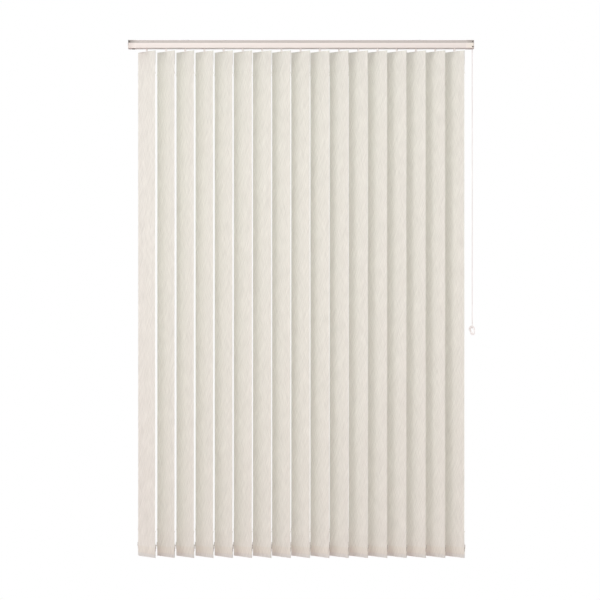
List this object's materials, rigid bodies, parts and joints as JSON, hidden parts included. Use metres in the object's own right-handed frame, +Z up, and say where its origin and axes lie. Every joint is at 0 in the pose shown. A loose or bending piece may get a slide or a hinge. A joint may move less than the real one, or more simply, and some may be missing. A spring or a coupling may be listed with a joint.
{
  "type": "vertical blind",
  "caption": "Vertical blind: a ceiling headrail with rolling carriers that hang turning cloth louvres, weighted and chained at the foot, worked by one hanging cord loop.",
  "frame": {"origin": "middle of the two ceiling screws, in the top face of the mounting clips, above the middle louvre", "axes": "+Z up, +X along the headrail to the control end, -Y to the room"},
  "size_m": [1.2005, 0.0707, 1.7888],
  "materials": {
    "louvre_cloth": "woven, matt, with slub streaks",
    "rail_white": "white powder coat",
    "white_plastic": "moulded satin",
    "clip_steel": "zinc plated",
    "rod_aluminium": "drawn",
    "cord_fibre": "braided",
    "chain_plastic": "moulded beads"
  },
  "bodies": {
    "headrail": {"headrail": "rail_white", "control_end_cap": "white_plastic", "idle_end_cap": "white_plastic", "mounting_clips": "clip_steel", "cord": "cord_fibre", "cord_weight": "white_plastic", "carrier_17": "white_plastic"},
    "tilt_drive": {"tilt_rod": "rod_aluminium", "drive_pulley": "white_plastic"},
    "truck_01": {"carrier_01": "white_plastic"},
    "truck_02": {"carrier_02": "white_plastic"},
    "truck_03": {"carrier_03": "white_plastic"},
    "truck_04": {"carrier_04": "white_plastic"},
    "truck_05": {"carrier_05": "white_plastic"},
    "truck_06": {"carrier_06": "white_plastic"},
    "truck_07": {"carrier_07": "white_plastic"},
    "truck_08": {"carrier_08": "white_plastic"},
    "truck_09": {"carrier_09": "white_plastic"},
    "truck_10": {"carrier_10": "white_plastic"},
    "truck_11": {"carrier_11": "white_plastic"},
    "truck_12": {"carrier_12": "white_plastic"},
    "truck_13": {"carrier_13": "white_plastic"},
    "truck_14": {"carrier_14": "white_plastic"},
    "truck_15": {"carrier_15": "white_plastic"},
    "truck_16": {"carrier_16": "white_plastic"},
    "vane_01": {"hanger_01": "white_plastic", "louvre_01": "louvre_cloth"},
    "vane_02": {"hanger_02": "white_plastic", "louvre_02": "louvre_cloth"},
    "vane_03": {"hanger_03": "white_plastic", "louvre_03": "louvre_cloth"},
    "vane_04": {"hanger_04": "white_plastic", "louvre_04": "louvre_cloth"},
    "vane_05": {"hanger_05": "white_plastic", "louvre_05": "louvre_cloth"},
    "vane_06": {"hanger_06": "white_plastic", "louvre_06": "louvre_cloth"},
    "vane_07": {"hanger_07": "white_plastic", "louvre_07": "louvre_cloth"},
    "vane_08": {"hanger_08": "white_plastic", "louvre_08": "louvre_cloth"},
    "vane_09": {"hanger_09": "white_plastic", "louvre_09": "louvre_cloth"},
    "vane_10": {"hanger_10": "white_plastic", "louvre_10": "louvre_cloth"},
    "vane_11": {"hanger_11": "white_plastic", "louvre_11": "louvre_cloth"},
    "vane_12": {"hanger_12": "white_plastic", "louvre_12": "louvre_cloth"},
    "vane_13": {"hanger_13": "white_plastic", "louvre_13": "louvre_cloth"},
    "vane_14": {"hanger_14": "white_plastic", "louvre_14": "louvre_cloth"},
    "vane_15": {"hanger_15": "white_plastic", "louvre_15": "louvre_cloth"},
    "vane_16": {"hanger_16": "white_plastic", "louvre_16": "louvre_cloth"},
    "vane_17": {"hanger_17": "white_plastic", "louvre_17": "louvre_cloth"},
    "chain": {"bottom_chain": "chain_plastic"}
  },
  "joints": [
    {"name": "tilt", "type": "hinge", "parent": "headrail", "child": "vane_17", "pos_m": [0.5328, 0, 0], "axis": [0, 0, 1], "range_deg": [-122.7, 31.3]},
    {"name": "traverse", "type": "slide", "parent": "headrail", "child": "truck_01", "axis": [1, 0, 0], "range_m": [0, 0.8256], "deforming": ["bottom_chain"]},
    {"name": "draw_02", "type": "slide", "parent": "headrail", "child": "truck_02", "axis": [1, 0, 0], "range_m": [0, 0.774]},
    {"name": "draw_03", "type": "slide", "parent": "headrail", "child": "truck_03", "axis": [1, 0, 0], "range_m": [0, 0.7224]},
    {"name": "draw_04", "type": "slide", "parent": "headrail", "child": "truck_04", "axis": [1, 0, 0], "range_m": [0, 0.6708]},
    {"name": "draw_05", "type": "slide", "parent": "headrail", "child": "truck_05", "axis": [1, 0, 0], "range_m": [0, 0.6192]},
    {"name": "draw_06", "type": "slide", "parent": "headrail", "child": "truck_06", "axis": [1, 0, 0], "range_m": [0, 0.5676]},
    {"name": "draw_07", "type": "slide", "parent": "headrail", "child": "truck_07", "axis": [1, 0, 0], "range_m": [0, 0.516]},
    {"name": "draw_08", "type": "slide", "parent": "headrail", "child": "truck_08", "axis": [1, 0, 0], "range_m": [0, 0.4644]},
    {"name": "draw_09", "type": "slide", "parent": "headrail", "child": "truck_09", "axis": [1, 0, 0], "range_m": [0, 0.4128]},
    {"name": "draw_10", "type": "slide", "parent": "headrail", "child": "truck_10", "axis": [1, 0, 0], "range_m": [0, 0.3612]},
    {"name": "draw_11", "type": "slide", "parent": "headrail", "child": "truck_11", "axis": [1, 0, 0], "range_m": [0, 0.3096]},
    {"name": "draw_12", "type": "slide", "parent": "headrail", "child": "truck_12", "axis": [1, 0, 0], "range_m": [0, 0.258]},
    {"name": "draw_13", "type": "slide", "parent": "headrail", "child": "truck_13", "axis": [1, 0, 0], "range_m": [0, 0.2064]},
    {"name": "draw_14", "type": "slide", "parent": "headrail", "child": "truck_14", "axis": [1, 0, 0], "range_m": [0, 0.1548]},
    {"name": "draw_15", "type": "slide", "parent": "headrail", "child": "truck_15", "axis": [1, 0, 0], "range_m": [0, 0.1032]},
    {"name": "draw_16", "type": "slide", "parent": "headrail", "child": "truck_16", "axis": [1, 0, 0], "range_m": [0, 0.0516]},
    {"name": "turn_01", "type": "hinge", "parent": "truck_01", "child": "vane_01", "pos_m": [-0.5328, 0, 0], "axis": [0, 0, 1], "range_deg": [-122.7, 31.3]},
    {"name": "turn_02", "type": "hinge", "parent": "truck_02", "child": "vane_02", "pos_m": [-0.4662, 0, 0], "axis": [0, 0, 1], "range_deg": [-122.7, 31.3]},
    {"name": "turn_03", "type": "hinge", "parent": "truck_03", "child": "vane_03", "pos_m": [-0.3996, 0, 0], "axis": [0, 0, 1], "range_deg": [-122.7, 31.3]},
    {"name": "turn_04", "type": "hinge", "parent": "truck_04", "child": "vane_04", "pos_m": [-0.333, 0, 0], "axis": [0, 0, 1], "range_deg": [-122.7, 31.3]},
    {"name": "turn_05", "type": "hinge", "parent": "truck_05", "child": "vane_05", "pos_m": [-0.2664, 0, 0], "axis": [0, 0, 1], "range_deg": [-122.7, 31.3]},
    {"name": "turn_06", "type": "hinge", "parent": "truck_06", "child": "vane_06", "pos_m": [-0.1998, 0, 0], "axis": [0, 0, 1], "range_deg": [-122.7, 31.3]},
    {"name": "turn_07", "type": "hinge", "parent": "truck_07", "child": "vane_07", "pos_m": [-0.1332, 0, 0], "axis": [0, 0, 1], "range_deg": [-122.7, 31.3]},
    {"name": "turn_08", "type": "hinge", "parent": "truck_08", "child": "vane_08", "pos_m": [-0.0666, 0, 0], "axis": [0, 0, 1], "range_deg": [-122.7, 31.3]},
    {"name": "turn_09", "type": "hinge", "parent": "truck_09", "child": "vane_09", "pos_m": [0, 0, 0], "axis": [0, 0, 1], "range_deg": [-122.7, 31.3]},
    {"name": "turn_10", "type": "hinge", "parent": "truck_10", "child": "vane_10", "pos_m": [0.0666, 0, 0], "axis": [0, 0, 1], "range_deg": [-122.7, 31.3]},
    {"name": "turn_11", "type": "hinge", "parent": "truck_11", "child": "vane_11", "pos_m": [0.1332, 0, 0], "axis": [0, 0, 1], "range_deg": [-122.7, 31.3]},
    {"name": "turn_12", "type": "hinge", "parent": "truck_12", "child": "vane_12", "pos_m": [0.1998, 0, 0], "axis": [0, 0, 1], "range_deg": [-122.7, 31.3]},
    {"name": "turn_13", "type": "hinge", "parent": "truck_13", "child": "vane_13", "pos_m": [0.2664, 0, 0], "axis": [0, 0, 1], "range_deg": [-122.7, 31.3]},
    {"name": "turn_14", "type": "hinge", "parent": "truck_14", "child": "vane_14", "pos_m": [0.333, 0, 0], "axis": [0, 0, 1], "range_deg": [-122.7, 31.3]},
    {"name": "turn_15", "type": "hinge", "parent": "truck_15", "child": "vane_15", "pos_m": [0.3996, 0, 0], "axis": [0, 0, 1], "range_deg": [-122.7, 31.3]},
    {"name": "turn_16", "type": "hinge", "parent": "truck_16", "child": "vane_16", "pos_m": [0.4662, 0, 0], "axis": [0, 0, 1], "range_deg": [-122.7, 31.3]},
    {"name": "rod_turn", "type": "hinge", "parent": "headrail", "child": "tilt_drive", "pos_m": [0, 0.0066, -0.0196], "axis": [1, 0, 0], "range_deg": [-1472.4, 375.6]},
    {"name": "chain_swing", "type": "hinge", "parent": "vane_17", "child": "chain", "pos_m": [0.49909, 0.0329, 0], "axis": [0, 0, 1], "range_deg": [-31.3, 122.7]}
  ],
  "couplings": [
    {"joint": "draw_02", "follows": "traverse", "ratio": 0.9375},
    {"joint": "draw_03", "follows": "traverse", "ratio": 0.875},
    {"joint": "draw_04", "follows": "traverse", "ratio": 0.8125},
    {"joint": "draw_05", "follows": "traverse", "ratio": 0.75},
    {"joint": "draw_06", "follows": "traverse", "ratio": 0.6875},
    {"joint": "draw_07", "follows": "traverse", "ratio": 0.625},
    {"joint": "draw_08", "follows": "traverse", "ratio": 0.5625},
    {"joint": "draw_09", "follows": "traverse", "ratio": 0.5},
    {"joint": "draw_10", "follows": "traverse", "ratio": 0.4375},
    {"joint": "draw_11", "follows": "traverse", "ratio": 0.375},
    {"joint": "draw_12", "follows": "traverse", "ratio": 0.3125},
    {"joint": "draw_13", "follows": "traverse", "ratio": 0.25},
    {"joint": "draw_14", "follows": "traverse", "ratio": 0.1875},
    {"joint": "draw_15", "follows": "traverse", "ratio": 0.125},
    {"joint": "draw_16", "follows": "traverse", "ratio": 0.0625},
    {"joint": "turn_01", "follows": "tilt", "ratio": 1},
    {"joint": "turn_02", "follows": "tilt", "ratio": 1},
    {"joint": "turn_03", "follows": "tilt", "ratio": 1},
    {"joint": "turn_04", "follows": "tilt", "ratio": 1},
    {"joint": "turn_05", "follows": "tilt", "ratio": 1},
    {"joint": "turn_06", "follows": "tilt", "ratio": 1},
    {"joint": "turn_07", "follows": "tilt", "ratio": 1},
    {"joint": "turn_08", "follows": "tilt", "ratio": 1},
    {"joint": "turn_09", "follows": "tilt", "ratio": 1},
    {"joint": "turn_10", "follows": "tilt", "ratio": 1},
    {"joint": "turn_11", "follows": "tilt", "ratio": 1},
    {"joint": "turn_12", "follows": "tilt", "ratio": 1},
    {"joint": "turn_13", "follows": "tilt", "ratio": 1},
    {"joint": "turn_14", "follows": "tilt", "ratio": 1},
    {"joint": "turn_15", "follows": "tilt", "ratio": 1},
    {"joint": "turn_16", "follows": "tilt", "ratio": 1},
    {"joint": "rod_turn", "follows": "tilt", "ratio": 12},
    {"joint": "chain_swing", "follows": "tilt", "ratio": -1}
  ]
}
